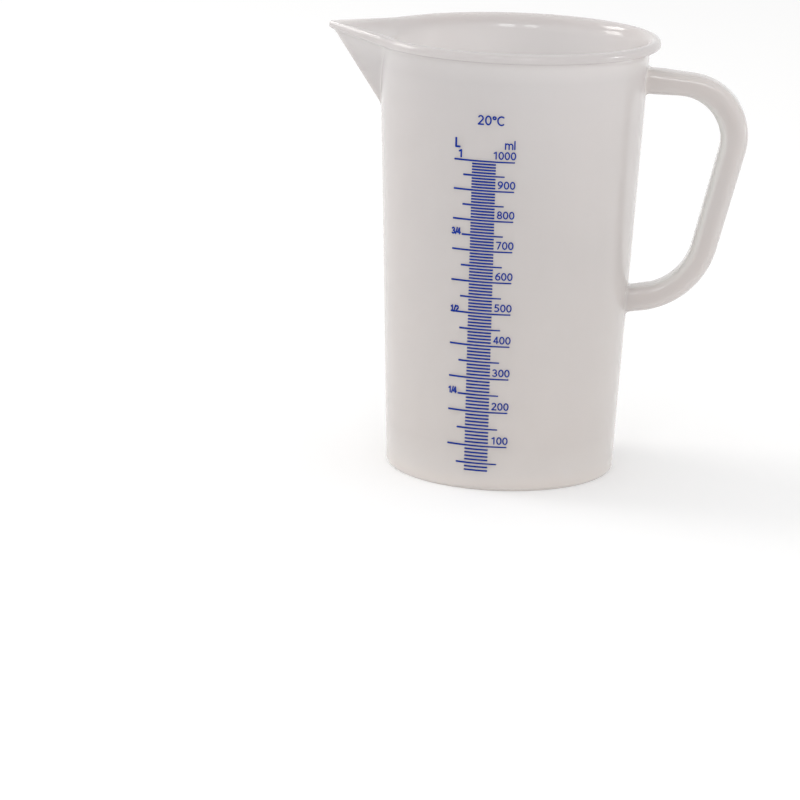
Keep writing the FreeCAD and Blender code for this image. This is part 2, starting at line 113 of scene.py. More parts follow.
# How finely the surface is cut: rings up the plain wall outside and inside, up the spout and
# along each bend of the lip, and degrees from the spout's middle where the cuts grow wider.
OUTER_RINGS, INNER_RINGS, SPOUT_RINGS = 14, 12, 64
LIP_RINGS = (9, 7, 2, 9, 16)
NOSE_END, FLANK_END = 2.4, 36.0


def smooth_max(a, b, width):
    """The larger of two numbers, rounded over a width where they meet."""
    near = np.maximum(width - np.abs(a - b), 0.0) / width
    return np.maximum(a, b) + near**2 * width / 4


def ramp(x, width):
    """0 below 0, x above it, rounded over a width."""
    return smooth_max(x, np.zeros_like(x), width)


def vee_reach(turn, centre, nose, half_angle):
    """How far a level V section reaches from the vessel's axis, by the turn from its middle."""
    side = np.abs(turn)
    square = math.pi / 2 - half_angle
    touch = np.arctan2(nose * math.cos(half_angle), centre + nose * math.sin(half_angle))
    nearest = centre * math.sin(half_angle) + nose
    flank = nearest / np.cos(np.minimum(side, square) - square)
    inside = np.maximum(nose**2 - (centre * np.sin(np.minimum(side, touch))) ** 2, 0.0)
    tip = centre * np.cos(side) + np.sqrt(inside)
    return np.where(side < touch, tip, flank)


def outer_wall(turn, height):
    """Outside of the vessel and the spout, as a distance from the axis."""
    centre = KEEL_R - FLANK_NOSE + KEEL_RUN * (height - KEEL_Z)
    cone = BASE_R + TAPER * height
    vee = vee_reach(turn, np.maximum(centre, 1.0), FLANK_NOSE, FLANK_ANGLE)
    return smooth_max(cone, vee, FLANK_BLEND)


def inner_wall(turn, height):
    """Inside of the vessel and the spout's channel, as a distance from the axis."""
    setback = (FLANK_NOSE - CHANNEL_WALL - CHANNEL_NOSE) / math.sin(FLANK_ANGLE)
    centre = KEEL_R - FLANK_NOSE + setback + KEEL_RUN * (height - KEEL_Z)
    cone = INNER_R + TAPER * height
    vee = vee_reach(turn, np.maximum(centre, 1.0), CHANNEL_NOSE, FLANK_ANGLE)
    return smooth_max(cone, vee, FLANK_BLEND)


def corner(start, bend, end, steps):
    """Points along a rounded corner between two places, with the last one left out."""
    rows = []
    for t in np.linspace(0.0, 1.0, steps, endpoint=False):
        a, b, c = (1 - t) ** 2, math.sqrt(2) * t * (1 - t), t**2
        total = a + b + c
        rows.append(tuple((a * s + b * m + c * e) / total for s, m, e in zip(start, bend, end)))
    return rows


def turns_round():
    """Turns from the spout's middle, close together where the spout is narrow."""
    near = np.arange(0.0, NOSE_END, 0.2)
    flank = np.arange(NOSE_END, FLANK_END, 0.5)
    far = np.linspace(FLANK_END, 180.0, 66)
    half = np.radians(np.concatenate([near, flank, far]))
    return np.concatenate([-half[::-1][:-1], half[:-1]])


def wall_rows(wall, turn, low, high, steps):
    """Rows up (or down) a wall between two heights, the last one left out."""
    rows = []
    for t in np.linspace(0.0, 1.0, steps, endpoint=False):
        height = low + (high - low) * t
        rows.append((wall(turn, height), height))
    return rows


def grown(pair, tipward):
    """A size of the lip between the mouth and the spout's tip."""
    return pair[0] + pair[1] * tipward


def lip_plan(turn):
    """The lip's reach, how near the spout's tip it is from 0 to 1, and its underside's height."""
    vee = vee_reach(turn, TIP_R - LIP_NOSE, LIP_NOSE, LIP_ANGLE)
    reach = smooth_max(np.full_like(turn, LIP_R), vee, LIP_BLEND)
    tipward = np.clip((reach - LIP_R) / (TIP_R - LIP_R), 0.0, 1.0)
    climb = ramp(reach * np.cos(turn) - SEAT_R, SEAT_BLEND) / (TIP_R - SEAT_R)
    return reach, tipward, UNDER_Z + (TIP_UNDER_Z - UNDER_Z) * climb


def lip_rows(turn, foot_out, foot_in):
    """The lip's contour from the outer wall over its crest to the inner wall."""
    reach, tipward, under = lip_plan(turn)
    climb = ramp(reach * np.cos(turn) - HEEL_R, HEEL_BLEND) / (TIP_R - HEEL_R)
    top = np.minimum(LIP_Z + (TIP_Z - LIP_Z) * climb, TIP_Z)
    crest = reach - grown(CREST_SETBACK, tipward)
    side_low = under + grown(SIDE_LOW, tipward)
    side_high = top + grown(SIDE_HIGH, tipward)
    side_middle = (side_low + side_high) / 2
    start = outer_wall(turn, foot_out)
    bend_out = outer_wall(turn, under)
    ledge = np.minimum(bend_out + grown(LEDGE_GROWTH, tipward), reach - LEAST_LEDGE)
    inner_foot = inner_wall(turn, foot_in)
    bend_in = inner_wall(turn, top)
    bends = (
        ((start, foot_out), (bend_out, under), (ledge, under)),
        ((ledge, under), (reach, under), (reach, side_low)),
        ((reach, side_low), (reach, side_middle), (reach, side_high)),
        ((reach, side_high), (reach, top), (crest, top)),
        ((crest, top), (bend_in, top), (inner_foot, foot_in)),
    )
    return [row for bend, rings in zip(bends, LIP_RINGS) for row in corner(*bend, rings)]


def lip_feet(turn):
    """Heights where the lip leaves the outer wall and where its flare meets the inner wall."""
    _, tipward, under = lip_plan(turn)
    foot_out = under + grown(FOOT_OUT, tipward)
    foot_in = RIM_FOOT_Z + (TIP_Z - TIP_FLARE - RIM_FOOT_Z) * tipward
    return foot_out, foot_in


def vessel_rows(turn):
    """Rings of the vessel's closed surface, from the middle of its underside to its floor."""
    same = np.ones_like(turn)
    corner_out = BASE_R + TAPER * FOOT_ROUND
    foot_out = corner_out - FOOT_ROUND
    foot_in = foot_out - FOOT_WIDTH
    recess = foot_in - FLOOR_UNDER_Z
    floor_corner_z = FLOOR_Z + FLOOR_ROUND
    floor_corner_r = INNER_R + TAPER * floor_corner_z
    floor_edge = floor_corner_r - FLOOR_ROUND
    lip_out, lip_in = lip_feet(turn)

    foot = [(recess * share, FLOOR_UNDER_Z) for share in (0.25, 0.5, 0.75, 0.97, 1.0)]
    foot += [(recess + FOOT_BEVEL, FLOOR_UNDER_Z - FOOT_BEVEL), (foot_in - FOOT_BEVEL, FOOT_BEVEL)]
    foot += [(foot_in, FOOT_EASE[1]), (foot_in + FOOT_EASE[0], 0.0), (foot_out - FOOT_BEVEL, 0.0)]
    foot += corner((foot_out, 0.0), (corner_out, 0.0), (corner_out, FOOT_ROUND), 8)
    floor = corner(
        (floor_corner_r, floor_corner_z), (floor_corner_r, FLOOR_Z), (floor_edge, FLOOR_Z), 6
    )
    floor += [(floor_edge * share, FLOOR_Z) for share in (1.0, 0.75, 0.5, 0.25)]

    rows = [(r * same, z * same) for r, z in foot]
    rows += wall_rows(outer_wall, turn, FOOT_ROUND * same, SPOUT_FOOT_Z * same, OUTER_RINGS)
    rows += wall_rows(outer_wall, turn, SPOUT_FOOT_Z * same, lip_out, SPOUT_RINGS)
    rows += lip_rows(turn, lip_out, lip_in)
    rows += wall_rows(inner_wall, turn, lip_in, CHANNEL_FOOT_Z * same, SPOUT_RINGS)
    rows += wall_rows(inner_wall, turn, CHANNEL_FOOT_Z * same, floor_corner_z * same, INNER_RINGS)
    rows += [(r * same, z * same) for r, z in floor]
    return rows


def solid(name, points, faces, material):
    """A smooth mesh object from points in millimetres."""
    mesh = bpy.data.meshes.new(name)
    mesh.from_pydata((np.asarray(points) * MM).tolist(), [], faces)
    mesh.validate()
    mesh.update()
    mesh.polygons.foreach_set("use_smooth", [True] * len(mesh.polygons))
    mesh.materials.append(material)
    made = bpy.data.objects.new(name, mesh)
    bpy.context.scene.collection.objects.link(made)
    return made


def as_piece(made, slot, *replaced):
    """Hides the CAD nodes and puts the made piece on the root in their place."""
    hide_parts(*replaced)
    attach(made, "root")


def joined(first, second):
    """Joins the second solid to the first, with no faces left inside."""
    join = first.modifiers.new("join", "BOOLEAN")
    join.operation = "UNION"
    join.solver = "EXACT"
    join.material_mode = "TRANSFER"
    join.object = second
    graph = bpy.context.evaluated_depsgraph_get()
    mesh = bpy.data.meshes.new_from_object(first.evaluated_get(graph))
    first.modifiers.clear()
    first.data = mesh
    mesh.name = first.name
    bpy.data.objects.remove(second)
    return first


def ring_faces(rings, count):
    """Quads between neighbouring closed rings of points."""
    faces = []
    for row in range(rings - 1):
        low = row * count
        for i in range(count):
            j = (i + 1) % count
            faces.append((low + i, low + j, low + count + j, low + count + i))
    return faces


def make_vessel(material):
    """Base, wall, lip and spout as the one moulding that they are."""
    turn = turns_round()
    rows = vessel_rows(turn)
    count = len(turn)
    points = []
    for reach, height in rows:
        points.append(np.stack([-reach * np.cos(turn), -reach * np.sin(turn), height], axis=1))
    grid = np.concatenate(points)
    below, above = [0.0, 0.0, FLOOR_UNDER_Z], [0.0, 0.0, FLOOR_Z]
    faces = ring_faces(len(rows), count)
    low_middle, high_middle = len(grid), len(grid) + 1
    last = (len(rows) - 1) * count
    for i in range(count):
        j = (i + 1) % count
        faces.append((low_middle, j, i))
        faces.append((high_middle, last + i, last + j))
    grid = np.concatenate([grid, [below, above]])
    return solid("jug_moulding", grid, faces, material)


# ---- handle ---------------------------------------------------------------------------------
# Corners of its outline seen from the side, as distance from the axis and height, and the
# radius of the bend at each.
ROOT_X = 40.0
OUTER = [(ROOT_X, 171.6), (103.0, 165.0), (79.8, 68.3), (ROOT_X, 68.6)]
INNER = [(ROOT_X, 159.8), (90.3, 159.3), (72.8, 82.3), (ROOT_X, 75.4)]
OUTER_BENDS = (25.4, 36.0)
INNER_BENDS = (18.0, 23.4)
HANDLE_EDGE = 3.2
ROOT_FILLET = 1.6
ROOT_CLEAR = 1.6                # gap to the wall, in fillets, from which the bar is left as it is
ROOT_STEPS = (-0.4, 0.0, 0.06, 0.18, 0.36, 0.62, 1.0)   # gaps of the fillet's rings, in fillets
STRAIGHT_STEPS = (16, 24, 16)
BEND_STEPS = 30


def bent_line(corners, bends):
    """Points along an outline with its two corners rounded: straights and bends in turn."""
    corners = [np.array(c, float) for c in corners]
    cuts = [corners[0]]
    arcs = []
    for before, here, after, radius in zip(corners, corners[1:], corners[2:], bends):
        back = (before - here) / np.linalg.norm(before - here)
        on = (after - here) / np.linalg.norm(after - here)
        half = math.acos(float(np.dot(back, on))) / 2
        middle = here + (back + on) / np.linalg.norm(back + on) * radius / math.sin(half)
        start, end = (here + d * radius / math.tan(half) for d in (back, on))
        cuts += [start, end]
        arcs.append((middle, start, end, radius))
    cuts.append(corners[-1])
    points = []
    for piece in range(3):
        low, high = cuts[2 * piece], cuts[2 * piece + 1]
        for t in np.linspace(0, 1, STRAIGHT_STEPS[piece], endpoint=piece == 2):
            points.append(low + (high - low) * t)
        if piece < 2:
            middle, start, end, radius = arcs[piece]
            first = math.atan2(*(start - middle)[::-1])
            sweep = math.atan2(*(end - middle)[::-1]) - first
            sweep = (sweep + math.pi) % (2 * math.pi) - math.pi
            for t in np.linspace(0, 1, BEND_STEPS, endpoint=False):
                turn = first + sweep * t
                points.append(middle + radius * np.array([math.cos(turn), math.sin(turn)]))
    return np.array(points)


def section(across, half_width, edge):
    """Rounded rectangle, as places across the bar from its inner side, and sideways."""
    ring = []
    for side_u, side_y, start in ((1, 1, 0), (0, 1, 90), (0, -1, 180), (1, -1, 270)):
        centre_u = across - edge if side_u else edge
        centre_y = side_y * (half_width - edge)
        for turn in np.radians(np.linspace(start, start + 90, 7)):
            u = centre_u + edge * math.cos(turn)
            y = centre_y + edge * math.sin(turn)
            ring.append((u, y))
    return ring


def make_handle(material):
    """Closed handle: the section follows the two outlines, with a small fillet at each root."""
    outer = bent_line(OUTER, OUTER_BENDS)
    inner = bent_line(INNER, INNER_BENDS)
    rings = []
    for out, into in zip(outer, inner):
        across = np.linalg.norm(out - into)
        way = (out - into) / across
        ring = section(across, HANDLE_HALF, HANDLE_EDGE)
        rings.append([(into[0] + way[0] * u, y, into[1] + way[1] * u) for u, y in ring])
    rings = root_flare(np.array(rings))
    count = rings.shape[1]
    points = rings.reshape(-1, 3)
    faces = ring_faces(len(rings), count)
    faces.append(tuple(range(count))[::-1])
    faces.append(tuple(range(len(points) - count, len(points))))
    return solid("handle", points, faces, material)


def gap_to_wall(points):
    """How far points stand off the vessel's outside."""
    return np.hypot(points[:, 0], points[:, 1]) - (BASE_R + TAPER * points[:, 2])


def onto_wall(points, along, gap):
    """The points moved along the handle until they stand off the wall by a gap."""
    for _ in range(4):
        points = points - np.outer(gap_to_wall(points) - gap, along)
    return points


def root_flare(rings):
    """Ends the handle inside the wall and swells it into a fillet where it meets it."""
    steps = ROOT_FILLET * np.array(ROOT_STEPS)
    side = np.maximum(ROOT_FILLET**2 - (ROOT_FILLET - np.maximum(steps, 0.0)) ** 2, 0.0)
    swell = ROOT_FILLET - np.sqrt(side)
    ends = []
    for rows in (rings, rings[::-1]):
        gaps = np.array([gap_to_wall(ring).min() for ring in rows])
        first = int(np.argmax(gaps > ROOT_CLEAR * ROOT_FILLET))
        ring, after = rows[first], rows[first + 1]
        along = (after - ring).mean(axis=0)
        along /= np.linalg.norm(along)
        flat = ring - ring.mean(axis=0)
        flat = flat - np.outer(flat @ along, along)
        outward = flat / np.linalg.norm(flat, axis=1)[:, None]
        made = [onto_wall(ring + outward * grow, along, gap) for gap, grow in zip(steps, swell)]
        ends.append((first, np.array(made)))
    (low, head), (high, tail) = ends
    return np.concatenate([head, rings[low : len(rings) - high], tail[::-1]])


# ---- printed scale --------------------------------------------------------------------------
SCALE_TURN = math.radians(-99.4)    # round the axis, from the handle
INK_PROUD = 0.05
INK_SUNK = 0.05
LINE_END = 0.12                 # length of a line's blunt end
LINE_END_SHARE = 0.7            # how thick it still is there
FIRST_LINE, LAST_LINE = 30, 1000    # millilitres

# Each kind of line: its length, and how thick it is at its left and right end.
LINES = {10: (9.8, 0.70, 0.70), 50: (17.0, 0.78, 0.56), 100: (25.0, 0.78, 0.56)}

# Printed text: where it ends, how far its foot stands over its level, its height, its stroke's
# width as a share of that, and how wide it is against its own drawing.
NUMERALS = (12.9, 1.1, 3.15, 0.17, 1.02)
FRACTIONS = (-8.8, -0.2, 2.6, 0.27, 0.85)
ONE_LITRE = (-9.2, 0.9, 3.2, 0.22, 1.0)
UNITS = {
    "ml": (12.5, 5.2, 3.5, 0.16, 1.0),
    "L": (-9.9, 4.9, 3.9, 0.22, 1.0),
    "20°C": (7.8, 14.8, 3.9, 0.165, 1.02),
}


def level_of(millilitres):
    """Height of the liquid's surface for a volume, from the taper and the floor."""
    floor = INNER_R + TAPER * FLOOR_Z
    cube = 3 * TAPER * millilitres * 1000 / math.pi + floor**3
    return (cube ** (1 / 3) - INNER_R) / TAPER


def on_wall(along, height, proud):
    """Places on the vessel's outside, along the scale's width and at a height."""
    reach = BASE_R + TAPER * height
    turn = SCALE_TURN + along / reach
    reach = reach + proud
    return np.stack([reach * np.cos(turn), reach * np.sin(turn), height + 0 * turn], axis=-1)


def strip(height, left, right, thick_left, thick_right):
    """One printed line as a thin closed strip with blunt ends, lying on the wall."""
    middle = np.linspace(left + LINE_END, right - LINE_END, 12)
    along = np.concatenate([[left], middle, [right]])
    shares = (along - left) / (right - left)
    half = (thick_left + (thick_right - thick_left) * shares) / 2
    half[[0, -1]] *= LINE_END_SHARE
    rings = []
    for x, h in zip(along, half):
        corners = ((-h, -INK_SUNK), (-h, INK_PROUD), (h, INK_PROUD), (h, -INK_SUNK))
        rings.append([on_wall(x, height + rise, proud) for rise, proud in corners])
    points = np.array(rings).reshape(-1, 3)
    faces = ring_faces(len(rings), 4)
    faces.append((3, 2, 1, 0))
    faces.append(tuple(range(len(points) - 4, len(points))))
    return points, faces


def gathered(parts):
    """Several (points, faces) as one."""
    points, faces, first = [], [], 0
    for more, sides in parts:
        points.append(more)
        faces += [tuple(first + i for i in side) for side in sides]
        first += len(more)
    return np.concatenate(points), faces


def make_print(name, node, parts, material):
    """Printed parts as one piece in the place of their CAD node."""
    points, faces = gathered(parts)
    as_piece(solid(name, points, faces, material), "blue_ink", node)


def make_ticks(kind, material):
    """All lines of one kind: every 100 ml, the other 50s, or the other 10s."""
    length, thick_left, thick_right = LINES[kind]
    parts = []
    for volume in range(FIRST_LINE, LAST_LINE + 1, 10):
        this = 100 if volume % 100 == 0 else 50 if volume % 50 == 0 else 10
        if this == kind:
            line = strip(level_of(volume), -length / 2, length / 2, thick_left, thick_right)
            parts.append(line)
    make_print(f"printed_ticks_{kind}ml", f"scale_ticks_{kind}ml", parts, material)


GLYPH_GRID = 0.03               # cells that the characters are cut from, one unit being a height

# Skeletons of the printed characters, one unit tall: the width each takes, and its strokes. A
# stroke is a run of points (x, y) and arcs (middle x, y, half width, half height, from, to).
BOWL_6 = (0.34, 0.325, 0.255, 0.26, 0, 360)
STEM_6 = [(0.085, 0.325), (0.10, 0.47), (0.15, 0.61), (0.24, 0.75), (0.36, 0.86), (0.52, 0.935)]
GLYPHS = {
    "0": (0.76, [[(0.33, 0.5, 0.262, 0.435, 0, 360)]]),
    "1": (0.70, [[(0.15, 0.78), (0.40, 0.935), (0.40, 0.065)]]),
    "2": (0.76, [[(0.31, 0.69, 0.235, 0.245, 150, -30), (0.08, 0.065), (0.585, 0.065)]]),
    "3": (
        0.76,
        [[(0.28, 0.715, 0.22, 0.22, 145, -90)], [(0.28, 0.28, 0.27, 0.215, 90, -140)]],
    ),
    "4": (
        0.76,
        [[(0.44, 0.93), (0.07, 0.29), (0.62, 0.29)], [(0.46, 0.935), (0.46, 0.065)]],
    ),
    "5": (0.76, [[(0.53, 0.935), (0.17, 0.935), (0.26, 0.325, 0.30, 0.26, 118, -125)]]),
    "6": (0.76, [[BOWL_6], STEM_6]),
    "7": (0.76, [[(0.07, 0.935), (0.58, 0.935), (0.24, 0.065)]]),
    "8": (
        0.76,
        [[(0.33, 0.715, 0.205, 0.22, 0, 360)], [(0.33, 0.28, 0.255, 0.215, 0, 360)]],
    ),
    "9": (0.76, [[(0.32, 0.675, 0.255, 0.26, 0, 360)], [(0.66 - x, 1 - y) for x, y in STEM_6]]),
    "C": (0.80, [[(0.43, 0.5, 0.365, 0.435, 55, 305)]]),
    "L": (0.55, [[(0.10, 0.935), (0.10, 0.065), (0.50, 0.065)]]),
    "l": (0.20, [[(0.08, 1.0), (0.08, 0.065)]]),
    "m": (
        1.06,
        [
            [(0.08, 0.065), (0.08, 0.70)],
            [(0.285, 0.45, 0.205, 0.23, 180, 0), (0.49, 0.065)],
            [(0.695, 0.45, 0.205, 0.23, 180, 0), (0.90, 0.065)],
        ],
    ),
    "°": (0.47, [[(0.19, 0.765, 0.135, 0.135, 0, 360)]]),
    "/": (0.30, [[(0.0, 0.03), (0.30, 0.97)]]),
}


def skeleton(strokes):
    """Short straight pieces that follow a character's strokes."""
    pieces = []
    for stroke in strokes:
        line = []
        for item in stroke:
            if len(item) == 2:
                line.append(item)
                continue
            x, y, across, up, start, end = item
            for turn in np.radians(np.linspace(start, end, 33)):
                line.append((x + across * math.cos(turn), y + up * math.sin(turn)))
        pieces += list(zip(line, line[1:]))
    return np.array(pieces)


def depth_in_stroke(x, y, pieces, half):
    """How deep each place lies inside the strokes, negative outside them."""
    depth = np.full(x.shape, -1.0)
    for start, end in pieces:
        run = end - start
        share = ((x - start[0]) * run[0] + (y - start[1]) * run[1]) / (run @ run)
        share = np.clip(share, 0.0, 1.0)
        away = np.hypot(x - start[0] - share * run[0], y - start[1] - share * run[1])
        depth = np.maximum(depth, half - away)
    return depth


def filled(pieces, half):
    """Flat faces that fill strokes of one width, cut from a fine grid."""
    low = pieces.min(axis=(0, 1)) - half - GLYPH_GRID
    high = pieces.max(axis=(0, 1)) + half + 2 * GLYPH_GRID
    columns, levels = (np.arange(low[i], high[i], GLYPH_GRID) for i in (0, 1))
    x, y = np.meshgrid(columns, levels, indexing="ij")
    depth = depth_in_stroke(x, y, pieces, half)
    points, faces = [], []
    for i, j in np.ndindex(x.shape[0] - 1, x.shape[1] - 1):
        if depth[i : i + 2, j : j + 2].max() <= 0:
            continue
        corners = [(i, j), (i + 1, j), (i + 1, j + 1), (i, j + 1)]
        face = []
        for here, after in zip(corners, corners[1:] + corners[:1]):
            a, b = depth[here], depth[after]
            if a > 0:
                face.append((x[here], y[here]))
            if (a > 0) != (b > 0):
                share = a / (a - b)
                face.append(
                    (x[here] + (x[after] - x[here]) * share, y[here] + (y[after] - y[here]) * share)
                )
        faces.append(tuple(range(len(points), len(points) + len(face))))
        points += face
    return np.array(points), faces


def text_part(text, level, style):
    """Characters in one line over a level, right-aligned, bent onto the wall."""
    right, rise, tall, stroke, squeeze = style
    parts = []
    reached = 0.0
    for character in text:
        width, strokes = GLYPHS[character]
        points, faces = filled(skeleton(strokes), stroke / 2)
        parts.append((points + [reached, 0.0], faces))
        reached += width
    flat, faces = gathered(parts)
    along = (flat[:, 0] - flat[:, 0].max()) * tall * squeeze + right
    return thick_plate(along, flat[:, 1] * tall + (level + rise), faces)


def thick_plate(along, height, faces):
    """A flat outline with its faces, made into a thin closed plate on the wall."""
    key, index = {}, []
    for x, y in zip(along.round(5), height.round(5)):
        index.append(key.setdefault((x, y), len(key)))
    along, height = np.array(list(key)).T
    faces = [tuple(index[i] for i in face) for face in faces]
    faces = [face for face in faces if len(set(face)) == len(face)]
    top, bottom = on_wall(along, height, INK_PROUD), on_wall(along, height, -INK_SUNK)
    count = len(along)
    sides = dict.fromkeys(side for face in faces for side in zip(face, face[1:] + face[:1]))
    walls = [(b, a, a + count, b + count) for a, b in sides if (b, a) not in sides]
    under = [tuple(i + count for i in face[::-1]) for face in faces]
    return np.concatenate([top, bottom]), faces + under + walls


def make_numerals(material):
    """100 to 1000, each standing on its long line."""
    parts = [text_part(str(ml), level_of(ml), NUMERALS) for ml in range(100, LAST_LINE + 1, 100)]
    make_print("printed_numerals", "scale_numerals", parts, material)


def make_litre_marks(material):
    """Quarter, half and three quarters of a litre, and one litre, left of the scale."""
    quarters = (("1/4", 250), ("1/2", 500), ("3/4", 750))
    parts = [text_part(text, level_of(ml), FRACTIONS) for text, ml in quarters]
    parts.append(text_part("1", level_of(LAST_LINE), ONE_LITRE))
    make_print("printed_litre_marks", "litre_marks", parts, material)


def make_units(material):
    """Unit symbols over the two columns and the calibration temperature."""
    parts = [text_part(text, level_of(LAST_LINE), style) for text, style in UNITS.items()]
    make_print("printed_units", "unit_marks", parts, material)


# ---- materials ------------------------------------------------------------------------------
# Colours of the plastic, each with the share of the jug's height that it stands at. Outside,
# the colour is lighter towards the foot, partly the thick base's whiter tone and partly painted
# light against the shade at the bottom. It is darker up the wall as painted shade, and a lighter
# band is painted light over the shade in the hollow under the lip.
WALL_OUTSIDE_TONE_AND_PAINTED_LIGHT = [
    # painted light, partly the thick base's whiter tone: lighter at the foot
    (0.0, (0.735, 0.675, 0.640, 1.0)),
    (0.10, (0.615, 0.565, 0.540, 1.0)),
    (0.92, (0.444, 0.424, 0.425, 1.0)),
    # painted light: a lighter band over the shade in the hollow under the lip
    (0.955, (0.490, 0.470, 0.469, 1.0)),
    (1.0, (0.444, 0.424, 0.425, 1.0)),
]
# painted light: the inside is painted lighter than the neck outside, most near the brim, over the
# shade in the flare
WALL_INSIDE_PAINTED_LIGHT = [(0.88, (0.460, 0.437, 0.439, 1.0)), (0.98, (0.525, 0.500, 0.498, 1.0))]
HANDLE_OUTSIDE = [(0.3, (0.580, 0.552, 0.542, 1.0)), (1.0, (0.570, 0.543, 0.533, 1.0))]
# painted light: the handle's inner face, shaded by the jug's body, is painted lighter
HANDLE_INSIDE_PAINTED_LIGHT = [(0.3, (0.670, 0.665, 0.650, 1.0)), (1.0, (0.660, 0.655, 0.640, 1.0))]
CLOUD_TINTS = [(0.3, (0.975, 0.968, 0.962, 1.0)), (0.7, (1.0, 0.978, 0.962, 1.0))]
CLOUDS, FLOW, DENTS, WEAR = (14.0, 2.0), (60.0, 4.0), (45.0, 2.0), (700.0, 3.0)   # scale, detail
GLOSS_LOW, GLOSS_HIGH = 0.09, 0.13      # roughness of the plastic's skin
DENT_STRENGTH, DENT_DEPTH = 0.10, 0.001
PLASTIC_IOR = 1.49
SCATTER_REACH = 0.013                   # how far light travels inside the plastic, in metres
SCATTER_TINT = (1.0, 0.99, 0.98)
LIGHT_PASSED = 0.5                      # share of the scattered light that a surface lets by

# A surface's place times its direction, both level, over the lip's reach: above 0 it is outside,
# and from this value on it is all inside, where the inside colours paint in light.
PAINTED_LIGHT_INSIDE_FULL = -0.5

INK_SHADES = [(0.35, (0.002, 0.023, 0.235, 1.0)), (0.75, (0.004, 0.036, 0.310, 1.0))]
INK_ROUGHNESS, INK_SHINE = 0.55, 0.15


def grey(level):
    """A colour without a tint."""
    return (level, level, level, 1.0)


def new_material(name):
    """An empty node material with its principled shader."""
    material = bpy.data.materials.new(name)
    material.use_nodes = True
    nodes, links = material.node_tree.nodes, material.node_tree.links
    return material, nodes, links, nodes["Principled BSDF"]


def noise(nodes, links, kind):
    """Noise over the object's own coordinates, by its scale and detail."""
    place = nodes.new("ShaderNodeTexCoord")
    texture = nodes.new("ShaderNodeTexNoise")
    texture.inputs["Scale"].default_value, texture.inputs["Detail"].default_value = kind
    links.new(place.outputs["Object"], texture.inputs["Vector"])
    return texture.outputs["Fac"]


def ramp_node(nodes, links, factor, stops):
    """Colour ramp over a factor, by its (position, colour) stops."""
    node = nodes.new("ShaderNodeValToRGB")
    elements = node.color_ramp.elements
    elements[0].position, elements[0].color = stops[0]
    elements[1].position, elements[1].color = stops[-1]
    for position, color in stops[1:-1]:
        elements.new(position).color = color
    links.new(factor, node.inputs["Fac"])
    return node.outputs["Color"]


def height_share(nodes, links):
    """0 at the table, 1 at the brim."""
    place = nodes.new("ShaderNodeTexCoord")
    split = nodes.new("ShaderNodeSeparateXYZ")
    share = nodes.new("ShaderNodeMapRange")
    share.inputs["From Max"].default_value = float(TIP_Z * MM)
    links.new(place.outputs["Object"], split.inputs["Vector"])
    links.new(split.outputs["Z"], share.inputs["Value"])
    return share.outputs["Result"]


def inside_share(nodes, links):
    """0 on surfaces that face away from the vessel's axis, 1 on those that face it: the mask for
    painted light on inward faces.
    """
    place = nodes.new("ShaderNodeTexCoord")
    level = nodes.new("ShaderNodeVectorMath")
    level.operation = "MULTIPLY"
    level.inputs[1].default_value = (1.0, 1.0, 0.0)
    facing = nodes.new("ShaderNodeVectorMath")
    facing.operation = "DOT_PRODUCT"
    share = nodes.new("ShaderNodeMapRange")
    share.inputs["From Max"].default_value = PAINTED_LIGHT_INSIDE_FULL * float(LIP_R * MM)
    links.new(place.outputs["Object"], level.inputs[0])
    links.new(level.outputs["Vector"], facing.inputs[0])
    links.new(place.outputs["Normal"], facing.inputs[1])
    links.new(facing.outputs["Value"], share.inputs["Value"])
    return share.outputs["Result"]


def multiplied(nodes, links, a, b):
    """Product of two colours."""
    mix = nodes.new("ShaderNodeMix")
    mix.data_type = "RGBA"
    mix.blend_type = "MULTIPLY"
    mix.inputs["Factor"].default_value = 1.0
    links.new(a, mix.inputs["A"])
    links.new(b, mix.inputs["B"])
    return mix.outputs["Result"]


def make_polypropylene(name, outside, inside):
    """Uncoloured polypropylene: milky, lets light in and through, satin skin, faint clouding.

    Its colours go by the height, on surfaces that face away from the vessel's axis (outside) and
    on those that face it (inside). They hold painted light and shade: by height outside, and
    lighter on inward faces.
    """
    material, nodes, links, shader = new_material(name)
    tint = ramp_node(nodes, links, noise(nodes, links, CLOUDS), CLOUD_TINTS)
    height = height_share(nodes, links)
    sides = nodes.new("ShaderNodeMix")
    sides.data_type = "RGBA"
    # painted light: inward faces take the lighter inside colours
    links.new(inside_share(nodes, links), sides.inputs["Factor"])
    links.new(ramp_node(nodes, links, height, outside), sides.inputs["A"])
    links.new(ramp_node(nodes, links, height, inside), sides.inputs["B"])
    links.new(multiplied(nodes, links, sides.outputs["Result"], tint), shader.inputs["Base Color"])
    skin = [(0.3, grey(GLOSS_LOW)), (0.7, grey(GLOSS_HIGH))]
    gloss = ramp_node(nodes, links, noise(nodes, links, FLOW), skin)
    links.new(gloss, shader.inputs["Roughness"])
    shader.inputs["IOR"].default_value = PLASTIC_IOR
    shader.inputs["Subsurface Weight"].default_value = 1.0
    shader.inputs["Subsurface Radius"].default_value = SCATTER_TINT
    shader.inputs["Subsurface Scale"].default_value = SCATTER_REACH
    bump = nodes.new("ShaderNodeBump")
    bump.inputs["Strength"].default_value = DENT_STRENGTH
    bump.inputs["Distance"].default_value = DENT_DEPTH
    links.new(noise(nodes, links, DENTS), bump.inputs["Height"])
    links.new(bump.outputs["Normal"], shader.inputs["Normal"])
    let_through(nodes, links, shader)
    return material


def mixed(nodes, links, factor, first, second):
    """The shader that goes from first to second with the factor, a number or a node's output."""
    mix = nodes.new("ShaderNodeMixShader")
    if isinstance(factor, float):
        mix.inputs["Fac"].default_value = factor
    else:
        links.new(factor, mix.inputs["Fac"])
    links.new(first, mix.inputs[1])
    links.new(second, mix.inputs[2])
    return mix.outputs["Shader"]


